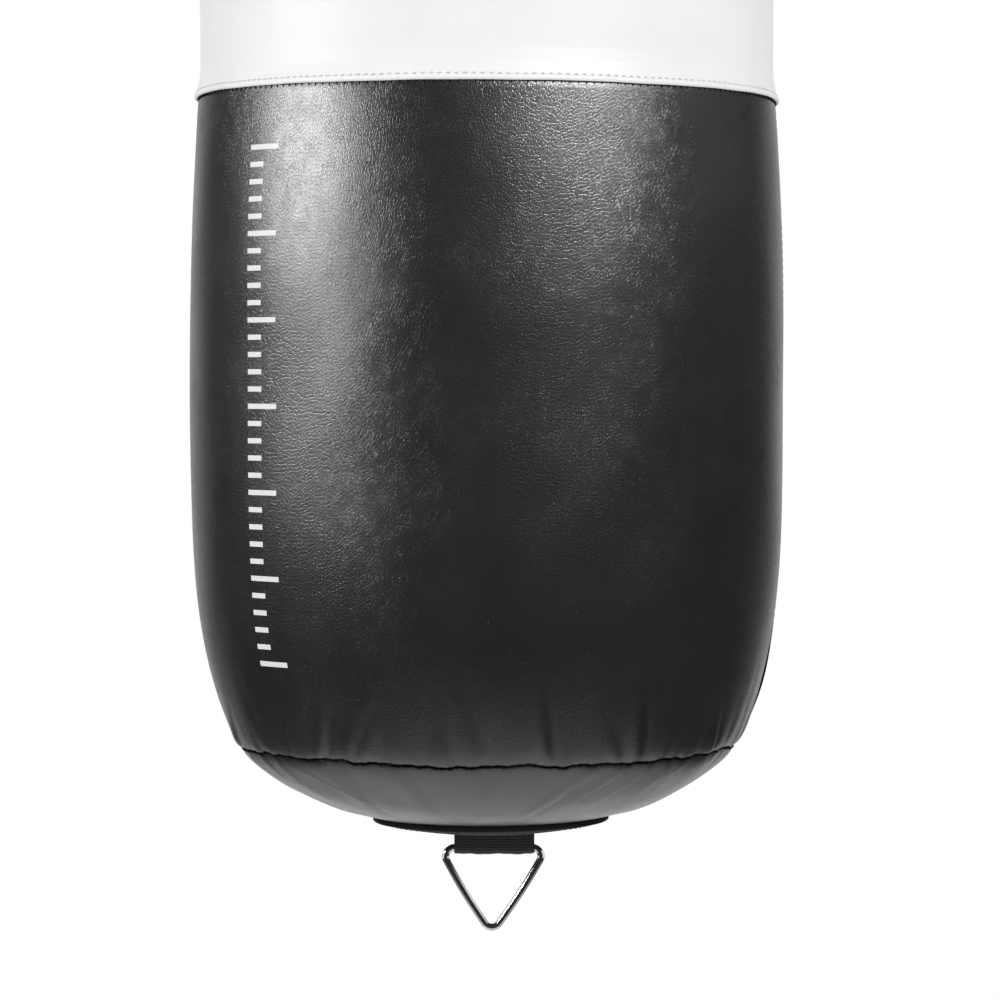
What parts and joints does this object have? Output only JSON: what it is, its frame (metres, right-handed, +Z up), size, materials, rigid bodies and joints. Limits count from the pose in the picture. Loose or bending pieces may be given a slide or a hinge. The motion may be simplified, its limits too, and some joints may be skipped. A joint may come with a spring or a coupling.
{
  "type": "punching bag",
  "caption": "Filled heavy bag in black and white leather, hung by chain legs, a ring, a carabiner and a ball-bearing swivel, with a ring on a webbing loop under its rounded base.",
  "frame": {"origin": "centre of the bore of the swivel's hanging eye", "axes": "+Z up along the hanging axis, -Y the front of the bag, +Y along the eye's bore, +X to the right as seen from the front"},
  "size_m": [0.3619, 0.3608, 1.6926],
  "materials": {
    "chrome": "polished",
    "zinc_steel": "satin",
    "black_steel": "satin",
    "rivet_metal": "polished",
    "zip_metal": "satin",
    "black_leather": "satin",
    "white_leather": "satin",
    "black_webbing": "matte",
    "zip_tape": "matte",
    "foam": "matte",
    "textile": "matte",
    "sand": "matte"
  },
  "bodies": {
    "hanger": {"swivel_eye": "chrome", "swivel_nut": "zinc_steel", "bearing_lower_race": "chrome"},
    "ball_cage": {"bearing_balls": "chrome", "bearing_cage": "zinc_steel"},
    "bracket": {"bearing_upper_race": "chrome", "swivel_bracket": "black_steel", "bracket_bolt": "zinc_steel", "bracket_nut": "zinc_steel", "bracket_washers": "zinc_steel", "bracket_spacers": "zinc_steel"},
    "carabiner": {"carabiner_body": "chrome", "gate_pin": "zinc_steel"},
    "gate": {"carabiner_gate": "chrome", "gate_spring": "zinc_steel"},
    "bag": {"base_loop": "black_webbing", "base_pad": "foam", "base_panel": "black_leather", "base_patch": "black_leather", "chain_1": "zinc_steel", "chain_2": "zinc_steel", "chain_3": "zinc_steel", "chain_4": "zinc_steel", "collar": "black_leather", "collar_belt": "black_webbing", "foam_liner": "foam", "lower_panel": "black_leather", "lower_strip": "black_leather", "master_ring": "chrome", "rim_piping": "black_leather", "rivets": "rivet_metal", "s_hook_1": "chrome", "s_hook_2": "chrome", "s_hook_3": "chrome", "s_hook_4": "chrome", "sand_core": "sand", "textile_fill": "textile", "top_lid": "black_leather", "top_loop_1": "black_webbing", "top_loop_2": "black_webbing", "top_loop_3": "black_webbing", "top_loop_4": "black_webbing", "top_pad": "foam", "top_ring_1": "chrome", "top_ring_2": "chrome", "top_ring_3": "chrome", "top_ring_4": "chrome", "upper_panel": "white_leather", "upper_strip": "white_leather", "zip_stops": "zip_metal", "zip_tapes": "zip_tape", "zip_teeth": "zip_metal"},
    "slider": {"zip_slider": "zip_metal"},
    "pull": {"zip_pull": "zip_metal"},
    "ring": {"base_ring": "chrome"}
  },
  "joints": [
    {"name": "swivel_spin", "type": "hinge", "parent": "hanger", "child": "bracket", "pos_m": [0, 0, -0.0449], "axis": [0, 0, 1], "continuous": true},
    {"name": "cage_spin", "type": "hinge", "parent": "hanger", "child": "ball_cage", "pos_m": [0, 0, -0.0449], "axis": [0, 0, 1], "continuous": true},
    {"name": "carabiner_swing", "type": "hinge", "parent": "bracket", "child": "carabiner", "pos_m": [0, 0, -0.08726], "axis": [1, 0, 0], "range_deg": [-50, 50]},
    {"name": "gate_open", "type": "hinge", "parent": "carabiner", "child": "gate", "pos_m": [0, -0.016, -0.13496], "axis": [-1, 0, 0], "range_deg": [0, 32], "stiffness_Nm_per_rad": 0.06, "springref_deg": -28.65},
    {"name": "bag_swing", "type": "hinge", "parent": "carabiner", "child": "bag", "pos_m": [0, 0, -0.15896], "axis": [0, 1, 0], "range_deg": [-45, 45]},
    {"name": "zip_slide", "type": "slide", "parent": "bag", "child": "slider", "axis": [1, 0, 0], "range_m": [0, 0.236]},
    {"name": "pull_flip", "type": "hinge", "parent": "slider", "child": "pull", "pos_m": [-0.1261, 0, -0.54436], "axis": [0, 1, 0], "range_deg": [0, 115]},
    {"name": "base_ring_swing", "type": "hinge", "parent": "bag", "child": "ring", "pos_m": [0.0045, 0, -1.61936], "axis": [1, 0, 0], "range_deg": [-85, 85]}
  ],
  "couplings": [
    {"joint": "cage_spin", "follows": "swivel_spin", "ratio": 0.5}
  ]
}
